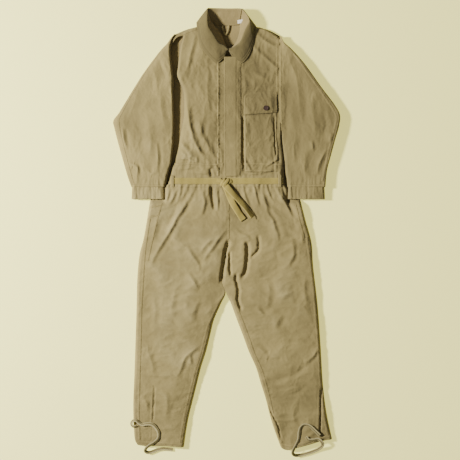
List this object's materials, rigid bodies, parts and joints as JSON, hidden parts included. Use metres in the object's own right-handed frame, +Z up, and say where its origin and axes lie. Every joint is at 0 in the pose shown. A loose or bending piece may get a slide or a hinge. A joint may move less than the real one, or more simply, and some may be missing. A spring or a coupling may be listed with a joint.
{
  "type": "one-piece work coverall",
  "caption": "One-piece long-sleeved cotton work coverall laid flat, with collar, covered button front, flap pocket, tie belt and ankle ties.",
  "frame": {"origin": "middle of the garment's outline on the floor it lies on", "axes": "+Z up out of the front, +Y along the body to the collar, +X to the wearer's left"},
  "size_m": [0.852, 1.6814, 0.044],
  "materials": {
    "drill": "washed khaki cotton drill, matt",
    "drill_inside": "wrong side of the drill, matt",
    "webbing": "woven cotton tape, slightly yellower",
    "horn_button": "dark brown, half gloss",
    "white_tape": "plain woven tape, blank"
  },
  "bodies": {
    "torso": {"back_panel": "drill_inside", "right_front_panel": "drill", "left_front_panel": "drill", "right_side_seam": "drill", "left_side_seam": "drill", "right_shoulder_seam": "drill", "left_shoulder_seam": "drill", "waistband_back": "drill_inside", "waistband_front": "drill", "button_stand": "drill", "buttonhole_strip": "drill", "front_button_1": "horn_button", "front_button_2": "horn_button", "front_button_3": "horn_button", "front_button_4": "horn_button", "front_button_5": "horn_button", "collar_back": "drill_inside", "neck_label": "white_tape", "chest_pocket": "drill", "right_belt_strap": "webbing", "left_belt_strap": "webbing", "right_belt_loop": "drill", "left_belt_loop": "drill", "belt_knot": "webbing", "belt_tail_1": "webbing", "belt_tail_2": "webbing", "right_trouser_back": "drill_inside", "right_trouser_front": "drill", "right_outseam": "drill", "right_inseam": "drill", "left_trouser_back": "drill_inside", "left_trouser_front": "drill", "left_outseam": "drill", "left_inseam": "drill"},
    "placket": {"placket_cover": "drill"},
    "pocket_flap": {"pocket_flap": "drill", "pocket_button": "horn_button"},
    "hanger": {"hanger_loop": "drill"},
    "right_collar": {"right_collar_leaf": "drill"},
    "left_collar": {"left_collar_leaf": "drill"},
    "right_sleeve": {"right_sleeve_back": "drill_inside", "right_sleeve_front": "drill", "right_sleeve_outer_seam": "drill", "right_sleeve_inner_seam": "drill", "right_cuff": "drill"},
    "right_shin": {"right_shin_back": "drill_inside", "right_shin_front": "drill", "right_shin_outseam": "drill", "right_shin_inseam": "drill", "right_ankle_tie": "webbing"},
    "left_sleeve": {"left_sleeve_back": "drill_inside", "left_sleeve_front": "drill", "left_sleeve_outer_seam": "drill", "left_sleeve_inner_seam": "drill", "left_cuff": "drill"},
    "left_shin": {"left_shin_back": "drill_inside", "left_shin_front": "drill", "left_shin_outseam": "drill", "left_shin_inseam": "drill", "left_ankle_tie": "webbing"}
  },
  "joints": [
    {"name": "right_sleeve_fold", "type": "hinge", "parent": "torso", "child": "right_sleeve", "pos_m": [-0.197, 0.44, 0.026], "axis": [0, 1, 0], "range_deg": [0, 140]},
    {"name": "left_sleeve_fold", "type": "hinge", "parent": "torso", "child": "left_sleeve", "pos_m": [0.1988, 0.44, 0.026], "axis": [0, -1, 0], "range_deg": [0, 140]},
    {"name": "right_knee_fold", "type": "hinge", "parent": "torso", "child": "right_shin", "pos_m": [-0.206, -0.43, 0.026], "axis": [-1, 0, 0], "range_deg": [0, 150]},
    {"name": "left_knee_fold", "type": "hinge", "parent": "torso", "child": "left_shin", "pos_m": [0.214, -0.43, 0.026], "axis": [-1, 0, 0], "range_deg": [0, 150]},
    {"name": "right_collar_turn", "type": "hinge", "parent": "torso", "child": "right_collar", "pos_m": [-0.0315, 0.7505, 0.0298], "axis": [-0.4111, 0.9116, 0], "range_deg": [0, 100]},
    {"name": "left_collar_turn", "type": "hinge", "parent": "torso", "child": "left_collar", "pos_m": [0.0325, 0.7505, 0.0298], "axis": [0.2937, 0.9559, 0], "range_deg": [-100, 0]},
    {"name": "placket_lift", "type": "hinge", "parent": "torso", "child": "placket", "pos_m": [0.0544, 0.409, 0.0282], "axis": [0, -1, 0], "range_deg": [-90, 0]},
    {"name": "pocket_flap_lift", "type": "hinge", "parent": "torso", "child": "pocket_flap", "pos_m": [0.123, 0.5153, 0.0328], "axis": [1, 0, 0], "range_deg": [-160, 0]},
    {"name": "hanger_swing", "type": "hinge", "parent": "torso", "child": "hanger", "pos_m": [-0.0035, 0.7703, 0.007], "axis": [1, 0, 0], "range_deg": [-90, 0]}
  ]
}
